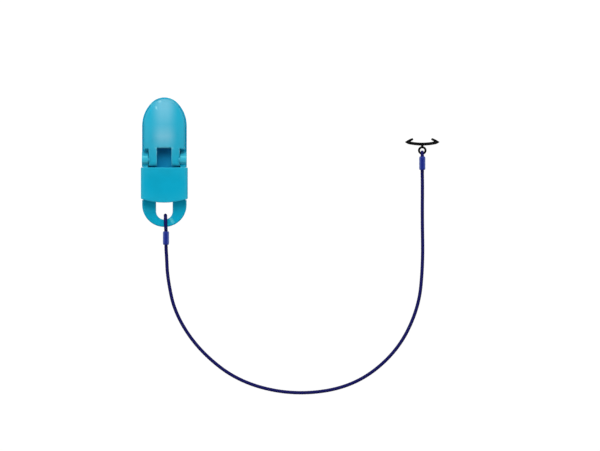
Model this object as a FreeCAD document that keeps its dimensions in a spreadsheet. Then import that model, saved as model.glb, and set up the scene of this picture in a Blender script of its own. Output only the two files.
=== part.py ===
"""Garment clip with a thin retention cord and a small barbed cross hook.

Frame, in millimetres: the clip lies on its flat back with +Z up. +Y points to the tip of the jaws and +X to
the right. The origin is under the middle of the clip, on the surface that it lies on.
"""
import FreeCAD, Part
import math
import os
import Sketcher

Vector = FreeCAD.Vector
doc = FreeCAD.newDocument("clip_and_cord")
sheet = doc.addObject("Spreadsheet::Sheet", "sizes")


class Size:
    """A number together with the spreadsheet formula that gives it, so that one value draws and binds."""

    def __init__(self, value, text):
        self.value = value
        self.text = text

    def _with(self, other, sign, result, flipped=False):
        other = size_of(other)
        first, second = (other, self) if flipped else (self, other)
        return Size(result(first.value, second.value), f"({first.text} {sign} {second.text})")

    def __add__(self, other):
        return self._with(other, "+", lambda p, q: p + q)

    def __radd__(self, other):
        return self._with(other, "+", lambda p, q: p + q, flipped=True)

    def __sub__(self, other):
        return self._with(other, "-", lambda p, q: p - q)

    def __rsub__(self, other):
        return self._with(other, "-", lambda p, q: p - q, flipped=True)

    def __mul__(self, other):
        return self._with(other, "*", lambda p, q: p * q)

    __rmul__ = __mul__

    def __truediv__(self, other):
        return self._with(other, "/", lambda p, q: p / q)

    def __neg__(self):
        return 0 - self


def size_of(number):
    return number if isinstance(number, Size) else Size(float(number), repr(float(number)))


def driving(row, name, number, note):
    """Writes one driving dimension into the spreadsheet and returns it as a Size."""
    sheet.set(f"A{row}", name)
    sheet.set(f"B{row}", str(number))
    sheet.setAlias(f"B{row}", name)
    sheet.set(f"C{row}", note)
    return Size(float(number), f"sizes.{name}")


# ---- driving dimensions ---------------------------------------------------------------------------------
DIMENSIONS = [
    ("jaw_half_width", 8.6, "half the width of the jaw end of the back plate"),
    ("tip_y", 25.0, "tip of the jaws"),
    ("nose_length", 11.0, "from the tip back to where the straight sides start"),
    ("nose_side_radius", 12.8, "radius of the two side arcs of the nose"),
    ("plate_thick", 1.8, "thickness of the back plate"),
    ("jaw_gap", 0.8, "space between the plates, which the teeth fill"),
    ("jaw_thick", 1.4, "thickness of the front jaw"),
    ("jaw_inset", 0.9, "front jaw's edge inside the back plate's edge"),
    ("jaw_arm_play", 0.5, "space on each side of the front jaw's arm, between the ears"),
    ("jaw_step", 1.0, "front jaw's wide part in front of the ears"),
    ("jaw_knuckle_radius", 1.2, "round root of the front jaw"),
    ("jaw_trunnion_radius", 0.8, "stub shafts of the front jaw"),
    ("jaw_axis_drop", 0.7, "front jaw's axis below its top face"),
    ("tail_thick", 0.8, "thickness of the front jaw's spring tail"),
    ("tail_length", 8.2, "length of the spring tail behind the axis"),
    ("tooth_pitch", 1.2, "distance from tooth to tooth"),
    ("tooth_height", 0.5, "height of a tooth"),
    ("tooth_half_width", 4.8, "half the length of a row of teeth"),
    ("teeth_setback", 3.2, "front edge of the toothed area behind the tip"),
    ("ear_thick", 2.4, "thickness of an ear"),
    ("ear_front_y", 4.1, "front edge of the ears"),
    ("ear_boss_radius", 1.7, "round top of an ear"),
    ("lever_axis_y", 0.9, "lever's axis along the clip"),
    ("trunnion_radius", 1.0, "stub shafts of the lever"),
    ("running_gap", 0.05, "radial play of every stub shaft in its hole"),
    ("end_play", 0.2, "play at the end of every stub shaft"),
    ("ear_skin", 0.7, "wall left outside the stub shafts' blind holes"),
    ("cam_radius", 2.4, "round end of a lever leg"),
    ("cam_offset", 0.6, "cam's centre below the lever's axis when closed"),
    ("cam_gap", 0.12, "space between cam and front jaw when closed"),
    ("jaw_arm_length", 4.0, "front jaw's axis behind the lever's axis"),
    ("lever_inset", 0.7, "lever's edge inside the back plate's edge"),
    ("lever_gap", 0.3, "space between front jaw and lever's rim"),
    ("lever_wall", 1.1, "wall of the lever's side"),
    ("lever_roof", 1.2, "thinnest part of the lever's top"),
    ("crown_over_cam", 0.28, "lever's crown above the top of its cams"),
    ("lever_nose_drop", 3.6, "fall of the crown from its flat part to the nose"),
    ("lever_side_drop", 2.0, "fall of the crown from the middle to the sides"),
    ("crown_lead", 4.0, "how far behind the shoulder the crown starts to fall to the nose"),
    ("hollow_reach", 5.0, "lever's hollow in front of the shoulder"),
    ("lever_rear_y", 4.94, "rear edge of the lever's shell"),
    ("window_half", 2.8, "half the window between the lever's legs"),
    ("window_front_y", 5.33, "front edge of the window"),
    ("leg_play", 0.2, "space between a lever leg and its ear"),
    ("leg_root_lift", 0.6, "underside of a leg's root above the lever's rim"),
    ("leg_top_sink", 0.05, "leg's top below the crown"),
    ("leg_back_radius", 14.4, "arc of a leg's back, from the shell to its cam"),
    ("rail_inset", 0.45, "side rails' faces inside the back plate's edge"),
    ("rail_height", 5.1, "side rails above the plate"),
    ("band_setback", 0.55, "front edge of the keeper band behind the lever's cams"),
    ("band_gap", 0.15, "space between the keeper band and the step in front of it"),
    ("band_side_y", -14.2, "rear edge of the keeper band at its sides"),
    ("band_rear_y", -15.64, "rear edge of the keeper band in the middle"),
    ("band_wall", 0.85, "side wall of the keeper band"),
    ("band_roof", 1.1, "top wall of the keeper band"),
    ("band_lip", 0.75, "how far the band's lips hook in under the plate"),
    ("band_corner", 1.2, "rounding of the band's long edges"),
    ("lip_gap", 0.05, "space between a lip's edge and the back plate"),
    ("lip_thick", 0.8, "thickness of the band's lips"),
    ("lip_lift", 0.1, "lips' height above the surface that the clip lies on"),
    ("body_rear_y", -14.5, "rear face of the body under the band"),
    ("rear_wall", 1.3, "wall across the rear of the body"),
    ("ring_inset", 0.02, "cord ring's sides inside the back plate's edge"),
    ("ring_rear_y", -25.0, "rear end of the cord ring"),
    ("ring_bar", 2.85, "width of the ring's bar, where the cord passes"),
    ("ring_hole_half", 3.2, "half the width of the ring's hole"),
    ("ring_hole_top_y", -14.9, "front edge of the ring's hole"),
    ("ring_low", 1.5, "underside of the ring"),
    ("ring_thick", 1.9, "thickness of the ring"),
    ("ring_round", 0.55, "rounding of the ring's edges"),
    ("cord_diameter", 1.3, "cord"),
    ("sleeve_wall", 0.56, "wall of a sleeve round the cord"),
    ("sleeve_web", 0.1, "plastic between the two strands in a sleeve"),
    ("sleeve_length", 5.2, "length of a sleeve"),
    ("tail_play", 0.04, "space past the cord's cut end in a sleeve"),
    ("eye_radius", 1.62, "outside radius of the hook's eye"),
    ("eye_bar", 0.82, "width of the eye's ring"),
    ("eye_thick", 0.8, "thickness of the eye"),
    ("eye_round", 0.36, "rounding of the eye's edges"),
    ("stem_half", 0.5, "half the width of the stem between eye and bar"),
    ("hook_thick", 1.1, "thickness of the hook"),
    ("hook_half_span", 6.7, "middle of the hook to a tip"),
    ("hook_bar_y", 3.7, "bar's middle line in front of the eye's lower arc"),
    ("hook_bar_width", 1.15, "width of the bar"),
    ("crotch_inset", 2.45, "barb's root inside the tip"),
    ("crotch_rise", 0.4, "barb's root in front of the bar's front edge"),
    ("barb_inset", 3.35, "barb's end inside the tip"),
    ("barb_rise", 1.61, "barb's end in front of the tip"),
    ("barb_end_width", 0.15, "barb's blunt end across the bar"),
    ("barb_end_drop", 0.85, "barb's blunt end along the stem"),
    ("hook_sweep", 0.9, "tips in front of the middle of the bar"),
    ("hook_rest_tilt", 11.5, "angle that the hook lies at, its barbs on the surface"),
]
size = {}
for row_number, (alias, number, note) in enumerate(DIMENSIONS, start=1):
    size[alias] = driving(row_number, alias, number, note)
doc.recompute()

# ---- places worked out from them ------------------------------------------------------------------------
shoulder_y = size["tip_y"] - size["nose_length"]
jaw_low = size["plate_thick"] + size["jaw_gap"]
jaw_top = jaw_low + size["jaw_thick"]
jaw_axis_y = size["lever_axis_y"] - size["jaw_arm_length"]
jaw_axis_z = jaw_top - size["jaw_axis_drop"]
lever_axis_z = jaw_top + size["cam_radius"] + size["cam_gap"] + size["cam_offset"]
lever_low = jaw_top + size["lever_gap"]
cam_z = lever_axis_z - size["cam_offset"]
crown_z = cam_z + size["cam_radius"] + size["crown_over_cam"]
channel_half = size["jaw_half_width"] - size["ear_thick"]
leg_outer = channel_half - size["leg_play"]
shaft_end = size["jaw_half_width"] - size["ear_skin"] - size["end_play"]
body_half = size["jaw_half_width"] - size["rail_inset"]
band_half = body_half + size["band_wall"]
band_front_y = size["lever_axis_y"] - size["cam_radius"] - size["band_setback"]
body_front_y = band_front_y + size["band_gap"]
rail_top = size["plate_thick"] + size["rail_height"]
band_top = rail_top + size["band_roof"]
lip_top = size["lip_lift"] + size["lip_thick"]
ring_half = size["jaw_half_width"] - size["ring_inset"]
ring_top = size["ring_low"] + size["ring_thick"]
sleeve_pitch = size["cord_diameter"] + size["sleeve_web"]
TOOTH_COUNT = 8
teeth_start_y = size["tip_y"] - size["teeth_setback"] - size["tooth_pitch"] * TOOTH_COUNT
EMBED = 0.1
BEYOND = 1.0


# ---- drawing helpers ------------------------------------------------------------------------------------
def new_body(name):
    body = doc.addObject("PartDesign::Body", name)
    body.Label = name
    return body


def origin_plane(body, role):
    return next(plane for plane in body.Origin.OriginFeatures if plane.Role == role)


def new_sketch(body, name, role, lift=None):
    """A sketch on one of the body's own origin planes, moved along the plane's normal by lift."""
    sketch = body.newObject("Sketcher::SketchObject", name)
    sketch.AttachmentSupport = [(origin_plane(body, role), "")]
    sketch.MapMode = "FlatFace"
    if lift is not None:
        sketch.AttachmentOffset = FreeCAD.Placement(Vector(0, 0, lift.value), FreeCAD.Rotation())
        sketch.setExpression("AttachmentOffset.Base.z", lift.text)
    return sketch


def datum(sketch, kind, places, amount):
    """Adds one dimension to a sketch and binds it to the spreadsheet."""
    index = sketch.addConstraint(Sketcher.Constraint(kind, *places, amount.value))
    sketch.setExpression(f"Constraints[{index}]", amount.text)


def arc_between(start, end, radius):
    """The short arc from start to end. A positive radius turns left, a negative one turns right."""
    chord = end - start
    half = chord.Length / 2
    rise = math.sqrt(max(radius * radius - half * half, 0.0))
    left = Vector(-chord.y, chord.x, 0).normalize()
    centre = start + chord / 2 + left * (rise if radius > 0 else -rise)
    first, last = (start, end) if radius > 0 else (end, start)
    angles = [math.atan2(point.y - centre.y, point.x - centre.x) for point in (first, last)]
    if angles[1] < angles[0]:
        angles[1] += 2 * math.pi
    return Part.ArcOfCircle(Part.Circle(centre, Vector(0, 0, 1), abs(radius)), *angles)


def draw_outline(sketch, corners):
    """Draws a closed outline. A corner is (x, y), or (x, y, radius) where an arc leaves it."""
    corners = [tuple(size_of(entry) for entry in corner) for corner in corners]
    points = [Vector(corner[0].value, corner[1].value, 0) for corner in corners]
    ends = []
    for number, corner in enumerate(corners):
        start, end = points[number], points[(number + 1) % len(points)]
        if len(corner) == 2:
            edge = sketch.addGeometry(Part.LineSegment(start, end), False)
            ends.append((edge, 1, 2))
            continue
        radius = corner[2]
        edge = sketch.addGeometry(arc_between(start, end, radius.value), False)
        ends.append((edge, 1, 2) if radius.value > 0 else (edge, 2, 1))
        datum(sketch, "Radius", (edge,), radius if radius.value > 0 else -radius)
    for number, (edge, first, last) in enumerate(ends):
        following = ends[(number + 1) % len(ends)]
        sketch.addConstraint(Sketcher.Constraint("Coincident", edge, last, following[0], following[1]))
        datum(sketch, "DistanceX", (-1, 1, edge, first), corners[number][0])
        datum(sketch, "DistanceY", (-1, 1, edge, first), corners[number][1])


def draw_circle(sketch, centre_x, centre_y, radius):
    centre_x, centre_y = size_of(centre_x), size_of(centre_y)
    circle = Part.Circle(Vector(centre_x.value, centre_y.value, 0), Vector(0, 0, 1), radius.value)
    edge = sketch.addGeometry(circle, False)
    datum(sketch, "Radius", (edge,), radius)
    datum(sketch, "DistanceX", (-1, 1, edge, 3), centre_x)
    datum(sketch, "DistanceY", (-1, 1, edge, 3), centre_y)


def feature(body, kind, name, sketch, length=None, both_ways=False, backwards=False):
    """Adds a Pad or a Pocket and checks that it really adds or removes material."""
    before = body.Shape.Volume if body.Tip else 0.0
    made = body.newObject("PartDesign::" + kind, name)
    made.Profile = sketch
    made.SideType = "Symmetric" if both_ways else "One side"
    made.Reversed = backwards
    made.setExpression("Length", size_of(length).text)
    doc.recompute()
    change = made.Shape.Volume - before
    if change * (1 if kind == "Pad" else -1) < 1e-6:
        raise RuntimeError(f"{body.Label}.{name} changed the volume by {change:.4f}")
    return made


def round_edges(body, name, radius, wanted):
    """Rounds every edge of the body for which wanted(box, edge) is true."""
    base = body.Tip
    shape = base.Shape
    names = [f"Edge{n}" for n, edge in enumerate(shape.Edges, start=1) if wanted(edge.BoundBox, edge)]
    made = body.newObject("PartDesign::Fillet", name)
    made.Base = (base, names)
    made.setExpression("Radius", radius.text)
    doc.recompute()
    return made


def near(value, target, slack=0.02):
    return abs(value - target.value) < slack


def nose(half_width, tip, side_radius):
    """Corners of the rounded nose, left to right over the tip: two side arcs and a tip arc, all tangent."""
    length = tip - shoulder_y
    reach = side_radius - half_width
    tip_radius = (side_radius * side_radius - reach * reach - length * length) / ((side_radius - length) * 2)
    share = side_radius / (side_radius - tip_radius)
    meet_x = share * reach - reach
    meet_y = shoulder_y + share * (length - tip_radius)
    return [
        (half_width, shoulder_y, side_radius),
        (meet_x, meet_y, tip_radius),
        (-meet_x, meet_y, side_radius),
        (-half_width, shoulder_y),
    ]


def inset_nose(inset):
    """The back plate's nose moved in by inset all the way round."""
    return nose(size["jaw_half_width"] - inset, size["tip_y"] - inset, size["nose_side_radius"] - inset)


def row_of_teeth(body, first_y, root_z, rise, count):
    """Ridges across the jaw, repeated along it."""
    ridge = new_sketch(body, "tooth_profile", "YZ_Plane")
    pitch = size["tooth_pitch"]
    draw_outline(ridge, [(first_y, root_z), (first_y + pitch, root_z), (first_y + pitch / 2, root_z + rise)])
    tooth = feature(body, "Pad", "tooth", ridge, size["tooth_half_width"] * 2, both_ways=True)
    pattern = body.newObject("PartDesign::LinearPattern", "teeth")
    pattern.Originals = [tooth]
    pattern.Direction = (ridge, ["H_Axis"])
    pattern.setExpression("Length", (pitch * (count - 1)).text)
    pattern.Occurrences = count
    body.Tip = pattern
    doc.recompute()


# ---- back plate with its ears, side rails and cord ring -------------------------------------------------
def make_rear_jaw():
    body = new_body("rear_jaw")
    half, front, rear = size["jaw_half_width"], body_front_y, size["body_rear_y"]
    outline = new_sketch(body, "plate_outline", "XY_Plane")
    draw_outline(outline, [(-body_half, rear), (body_half, rear), (body_half, front), (half, front)]
                 + inset_nose(size_of(0)) + [(-half, front), (-body_half, front)])
    feature(body, "Pad", "plate", outline, size["plate_thick"])

    ear = new_sketch(body, "ear_profile", "YZ_Plane")
    boss, axis_y = size["ear_boss_radius"], size["lever_axis_y"]
    draw_outline(ear, [
        (front, size["plate_thick"] - EMBED), (size["ear_front_y"], size["plate_thick"] - EMBED),
        (size["ear_front_y"], jaw_top), (axis_y + boss, lever_axis_z, boss),
        (axis_y, lever_axis_z + boss, boss), (axis_y - boss, lever_axis_z),
        (front, rail_top - EMBED)])
    feature(body, "Pad", "ears", ear, half * 2, both_ways=True)

    rail = new_sketch(body, "rail_profile", "YZ_Plane")
    draw_outline(rail, [(rear, size["plate_thick"] - EMBED), (front + EMBED, size["plate_thick"] - EMBED),
                        (front + EMBED, rail_top), (rear, rail_top)])
    feature(body, "Pad", "rails", rail, body_half * 2, both_ways=True)

    channel = new_sketch(body, "channel_profile", "YZ_Plane")
    inner_rear, high = rear + size["rear_wall"], crown_z + BEYOND
    draw_outline(channel, [(inner_rear, size["plate_thick"]), (size["ear_front_y"] + BEYOND, size["plate_thick"]),
                           (size["ear_front_y"] + BEYOND, high), (inner_rear, high)])
    feature(body, "Pocket", "channel", channel, channel_half * 2, both_ways=True)

    lever_hole = new_sketch(body, "lever_hole", "YZ_Plane")
    draw_circle(lever_hole, axis_y, lever_axis_z, size["trunnion_radius"] + size["running_gap"])
    feature(body, "Pocket", "lever_holes", lever_hole, (shaft_end + size["end_play"]) * 2, both_ways=True)
    jaw_hole = new_sketch(body, "jaw_hole", "YZ_Plane")
    draw_circle(jaw_hole, jaw_axis_y, jaw_axis_z, size["jaw_trunnion_radius"] + size["running_gap"])
    feature(body, "Pocket", "jaw_holes", jaw_hole, (shaft_end + size["end_play"]) * 2, both_ways=True)

    ring = new_sketch(body, "ring_outline", "XY_Plane", size["ring_low"])
    outer, centre_y = ring_half, size["ring_rear_y"] + ring_half
    neck_y = size["body_rear_y"] - EMBED
    draw_outline(ring, [
        (-body_half, rear + size["rear_wall"]), (-body_half, neck_y), (-outer, neck_y), (-outer, centre_y, outer),
        (0, size["ring_rear_y"], outer), (outer, centre_y), (outer, neck_y), (body_half, neck_y),
        (body_half, rear + size["rear_wall"])])
    hole = size["ring_hole_half"]
    bend_y = size["ring_rear_y"] + size["ring_bar"] + hole
    draw_outline(ring, [(-hole, size["ring_hole_top_y"]), (-hole, bend_y, hole),
                        (0, bend_y - hole, hole), (hole, bend_y), (hole, size["ring_hole_top_y"])])
    feature(body, "Pad", "cord_ring", ring, size["ring_thick"])

    rebate = new_sketch(body, "lip_rebates", "XY_Plane")
    inner = body_half - size["band_lip"]
    for side in (1, -1):
        draw_outline(rebate, [
            (inner * side, front), (inner * side, rear - BEYOND),
            ((half + BEYOND) * side, rear - BEYOND), ((half + BEYOND) * side, front)])
    feature(body, "Pocket", "lip_rebate", rebate, lip_top, backwards=True)

    row_of_teeth(body, teeth_start_y, size["plate_thick"] - EMBED, size["tooth_height"] + EMBED,
                 TOOTH_COUNT)
    behind_neck = (neck_y - BEYOND).value
    round_edges(body, "ring_rounding", size["ring_round"], lambda box, edge: (
        isinstance(edge.Curve, Part.Circle) and box.YMin < behind_neck
        and (near(box.ZMin, ring_top) or near(box.ZMax, size["ring_low"]))))
    return body


# ---- front jaw: a toothed tongue that rocks on two stub shafts, with a thin spring tail -----------------
TAIL_CLEARANCE = 0.3


def make_front_jaw():
    body = new_body("front_jaw")
    arm, wide = channel_half - size["jaw_arm_play"], size["jaw_half_width"] - size["jaw_inset"]
    paddle_y = size["ear_front_y"] + size["jaw_step"]
    outline = new_sketch(body, "tongue_outline", "XY_Plane", jaw_low)
    draw_outline(outline, [(-arm, jaw_axis_y), (arm, jaw_axis_y), (arm, paddle_y), (wide, paddle_y)]
                 + inset_nose(size["jaw_inset"]) + [(-wide, paddle_y), (-arm, paddle_y)])
    feature(body, "Pad", "tongue", outline, size["jaw_thick"])

    knuckle = new_sketch(body, "knuckle_profile", "YZ_Plane")
    draw_circle(knuckle, jaw_axis_y, jaw_axis_z, size["jaw_knuckle_radius"])
    feature(body, "Pad", "knuckle", knuckle, arm * 2, both_ways=True)
    shaft = new_sketch(body, "shaft_profile", "YZ_Plane")
    draw_circle(shaft, jaw_axis_y, jaw_axis_z, size["jaw_trunnion_radius"])
    feature(body, "Pad", "stub_shafts", shaft, shaft_end * 2, both_ways=True)

    tail = new_sketch(body, "tail_profile", "YZ_Plane")
    root_z, end_y = jaw_axis_z, jaw_axis_y - size["tail_length"]
    end_z = rail_top - TAIL_CLEARANCE
    draw_outline(tail, [(jaw_axis_y, root_z), (jaw_axis_y, root_z + size["tail_thick"]),
                        (end_y, end_z), (end_y, end_z - size["tail_thick"])])
    feature(body, "Pad", "spring_tail", tail, size["window_half"] * 2, both_ways=True)

    row_of_teeth(body, teeth_start_y + size["tooth_pitch"] / 2, jaw_low + EMBED,
                 -(size["tooth_height"] + EMBED), TOOTH_COUNT - 1)
    return body


# ---- lever: a domed shell on two legs that end in cams --------------------------------------------------
def make_lever():
    body = new_body("lever")
    edge, rear = size["jaw_half_width"] - size["lever_inset"], size["lever_rear_y"]
    tip = size["tip_y"] - size["lever_inset"]
    outline = new_sketch(body, "shell_outline", "XY_Plane", lever_low)
    draw_outline(outline, [(-edge, rear), (edge, rear)] + inset_nose(size["lever_inset"]))
    feature(body, "Pad", "shell", outline, crown_z - lever_low)

    crown_end_y = shoulder_y - size["crown_lead"]
    run = tip - crown_end_y
    drop = size["lever_nose_drop"]
    nose_radius = (run * run + drop * drop) / (drop * 2)
    fall = new_sketch(body, "nose_fall", "YZ_Plane")
    draw_outline(fall, [(crown_end_y, crown_z, -nose_radius), (tip, crown_z - drop),
                        (tip + BEYOND, crown_z - drop), (tip + BEYOND, crown_z + BEYOND),
                        (crown_end_y, crown_z + BEYOND)])
    feature(body, "Pocket", "nose_cut", fall, size["jaw_half_width"] * 3, both_ways=True)

    side_drop = size["lever_side_drop"]
    inner_edge = edge - size["lever_wall"]
    hollow_front, hollow_rear = shoulder_y + size["hollow_reach"], rear + size["lever_wall"]
    ceiling = crown_z - side_drop - size["lever_roof"]
    hollow = new_sketch(body, "hollow_outline", "XY_Plane", lever_low)
    draw_outline(hollow, [(-inner_edge, hollow_rear), (inner_edge, hollow_rear), (inner_edge, shoulder_y),
                          (inner_edge / 2, hollow_front), (-inner_edge / 2, hollow_front),
                          (-inner_edge, shoulder_y)])
    feature(body, "Pocket", "hollow", hollow, ceiling - lever_low, backwards=True)

    leg = new_sketch(body, "leg_profile", "YZ_Plane")
    axis_y, cam = size["lever_axis_y"], size["cam_radius"]
    root_z, top_z = lever_low + size["leg_root_lift"], crown_z - size["leg_top_sink"]
    draw_outline(leg, [
        (hollow_rear, root_z), (hollow_rear, top_z), (rear, top_z, size["leg_back_radius"]),
        (axis_y, cam_z + cam, cam), (axis_y - cam, cam_z, cam), (axis_y, cam_z - cam, cam),
        (axis_y + cam, cam_z), (rear, root_z)])
    feature(body, "Pad", "legs", leg, leg_outer * 2, both_ways=True)

    arch_radius = (edge * edge + side_drop * side_drop) / (side_drop * 2)
    arch = new_sketch(body, "arch", "XZ_Plane")
    for side in (1, -1):
        draw_outline(arch, [
            (0, crown_z, -side * arch_radius), (edge * side, crown_z - side_drop),
            ((edge + BEYOND) * side, crown_z - side_drop),
            ((edge + BEYOND) * side, crown_z + BEYOND), (0, crown_z + BEYOND)])
    feature(body, "Pocket", "arch_cut", arch, size["tip_y"] * 3, both_ways=True)

    window = new_sketch(body, "window_outline", "XY_Plane", jaw_top)
    opening, low_y = size["window_half"], size["lever_axis_y"] - size["cam_radius"] - BEYOND
    draw_outline(window, [(-opening, low_y), (opening, low_y), (opening, size["window_front_y"]),
                          (-opening, size["window_front_y"])])
    feature(body, "Pocket", "window", window, crown_z - jaw_top + BEYOND, backwards=True)

    for side, name in ((1, "right"), (-1, "left")):
        shaft = new_sketch(body, name + "_shaft_circle", "YZ_Plane", (leg_outer - EMBED) * side)
        draw_circle(shaft, axis_y, lever_axis_z, size["trunnion_radius"])
        feature(body, "Pad", name + "_stub_shaft", shaft, shaft_end - leg_outer + EMBED,
                backwards=side < 0)
    return body


# ---- keeper band: snaps over the rails from the front and hooks in under the plate ----------------------
def make_keeper_band():
    body = new_body("keeper_band")
    outer, inner = band_half, body_half
    lip, corner = inner - size["band_lip"] + size["lip_gap"], size["band_corner"]
    low, front, side_y = size["lip_lift"], band_front_y, size["band_side_y"]
    section = new_sketch(body, "band_section", "XZ_Plane", -front)
    draw_outline(section, [
        (lip, low), (outer, low), (outer, band_top - corner, corner), (outer - corner, band_top),
        (-(outer - corner), band_top, corner), (-outer, band_top - corner), (-outer, low), (-lip, low),
        (-lip, lip_top), (-inner, lip_top), (-inner, rail_top), (inner, rail_top),
        (inner, lip_top), (lip, lip_top)])
    feature(body, "Pad", "band", section, front - size["band_rear_y"])

    bow = side_y - size["band_rear_y"]
    radius = (outer * outer + bow * bow) / (bow * 2)
    trim = new_sketch(body, "rear_edge", "XY_Plane")
    wide, far = outer + BEYOND, size["band_rear_y"] - BEYOND
    draw_outline(trim, [(-wide, far), (wide, far), (wide, side_y), (outer, side_y, -radius),
                        (0, size["band_rear_y"], -radius), (-outer, side_y), (-wide, side_y)])
    feature(body, "Pocket", "rear_trim", trim, band_top * 3, both_ways=True)
    return body


# ---- cord: one piece, with a small loop in each end -----------------------------------------------------
strand_low = size["sleeve_wall"].value + size["cord_diameter"].value / 2
strand_high = strand_low + sleeve_pitch.value
FLOOR = size["cord_diameter"].value / 2
CLIP_END = (0.6, -29.3)
HOOK_END = (99.5, -0.4)
EYE = (99.5, 3.35, 1.8)
ROUTE = [
    (0.6, -29.0, strand_high), (0.6, -27.4, strand_high + 0.002), (0.6, -26.5, strand_high), (0.55, -25.1, 4.15),
    (0.4, -20.5, 4.15), (0.4, -20.5, 0.68), (0.55, -25.4, 0.7), (0.6, -26.4, strand_low),
    (0.6, -33.2, strand_low), (0.8, -36.0, FLOOR), (1.2, -44.8, FLOOR), (4.1, -58.6, FLOOR),
    (13.6, -73.0, FLOOR), (29.2, -85.1, FLOOR), (50.6, -90.0, FLOOR), (72.9, -86.6, FLOOR),
    (89.4, -73.8, FLOOR), (98.1, -56.6, FLOOR), (99.8, -39.5, FLOOR), (99.5, -21.0, FLOOR),
    (99.6, -9.5, FLOOR), (99.5, -4.6, strand_low), (99.5, -0.6, strand_low + 0.002), (99.5, 2.3, strand_low),
    (99.5, 2.9, 0.66), (99.5, 4.47, 0.66), (99.5, 4.47, 2.95), (99.5, 2.9, 2.95),
    (99.5, 2.3, strand_high), (99.5, 0.9, strand_high),
]


def smooth_path(points):
    """Straight runs joined by tangent arcs, each as large as its two runs allow."""
    corners = [Vector(*point) for point in points]
    edges, radii, last = [], [], corners[0]
    for before, corner, after in zip(corners, corners[1:], corners[2:]):
        back, ahead = before - corner, after - corner
        half_turn = (math.pi - back.getAngle(ahead)) / 2
        setback = 0.45 * min(back.Length, ahead.Length)
        radii.append(setback / math.tan(half_turn))
        back.normalize()
        ahead.normalize()
        start, end = corner + back * setback, corner + ahead * setback
        inward = (back + ahead).normalize()
        middle = corner + inward * (radii[-1] / math.cos(half_turn) - radii[-1])
        edges += [Part.LineSegment(last, start).toShape(), Part.Arc(start, middle, end).toShape()]
        last = end
    edges.append(Part.LineSegment(last, corners[-1]).toShape())
    return Part.Wire(edges), radii


def make_cord():
    path, radii = smooth_path(ROUTE)
    radius = size["cord_diameter"].value / 2
    first = path.Edges[0]
    direction = first.tangentAt(first.FirstParameter)
    section = Part.Wire(Part.Circle(Vector(*ROUTE[0]), direction, radius).toShape())
    tube = path.makePipeShell([section], True, False, 2)
    expected = math.pi * radius * radius * path.Length
    if abs(tube.Volume / expected - 1) > 0.01:
        raise RuntimeError(f"cord volume {tube.Volume:.3f} is not {expected:.3f}")
    cord = doc.addObject("Part::Feature", "cord")
    cord.Label = "cord"
    cord.Shape = tube
    cord.Placement = FreeCAD.Placement()
    print("cord radii", [round(value, 2) for value in radii])
    print(f"cord length {path.Length:.1f}, volume {tube.Volume:.2f}, expected {expected:.2f}")
    return cord


def make_sleeve(name, centre, tail_end_y):
    """A shrunk sleeve round both strands. Its upper hole stops where the cord's tail does."""
    body = new_body(name)
    half, bore = size["sleeve_length"] / 2, size["cord_diameter"] / 2
    outer = bore + size["sleeve_wall"]
    low = size["sleeve_wall"] + bore
    high = low + sleeve_pitch
    centre_x, centre_y = size_of(centre[0]), size_of(centre[1])
    section = new_sketch(body, "sleeve_section", "XZ_Plane", -(centre_y + half))
    draw_outline(section, [
        (centre_x - outer, high), (centre_x - outer, low, outer), (centre_x, low - outer, outer),
        (centre_x + outer, low), (centre_x + outer, high, outer), (centre_x, high + outer, outer)])
    feature(body, "Pad", "sleeve", section, size["sleeve_length"])
    run = new_sketch(body, "running_strand", "XZ_Plane", -(centre_y + half))
    draw_circle(run, centre_x, low, bore)
    feature(body, "Pocket", "running_hole", run, size["sleeve_length"], backwards=True)
    tail = new_sketch(body, "tail_strand", "XZ_Plane", -(centre_y + half))
    draw_circle(tail, centre_x, high, bore)
    feature(body, "Pocket", "tail_hole", tail, centre_y + half - tail_end_y + size["tail_play"],
            backwards=True)
    return body


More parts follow.
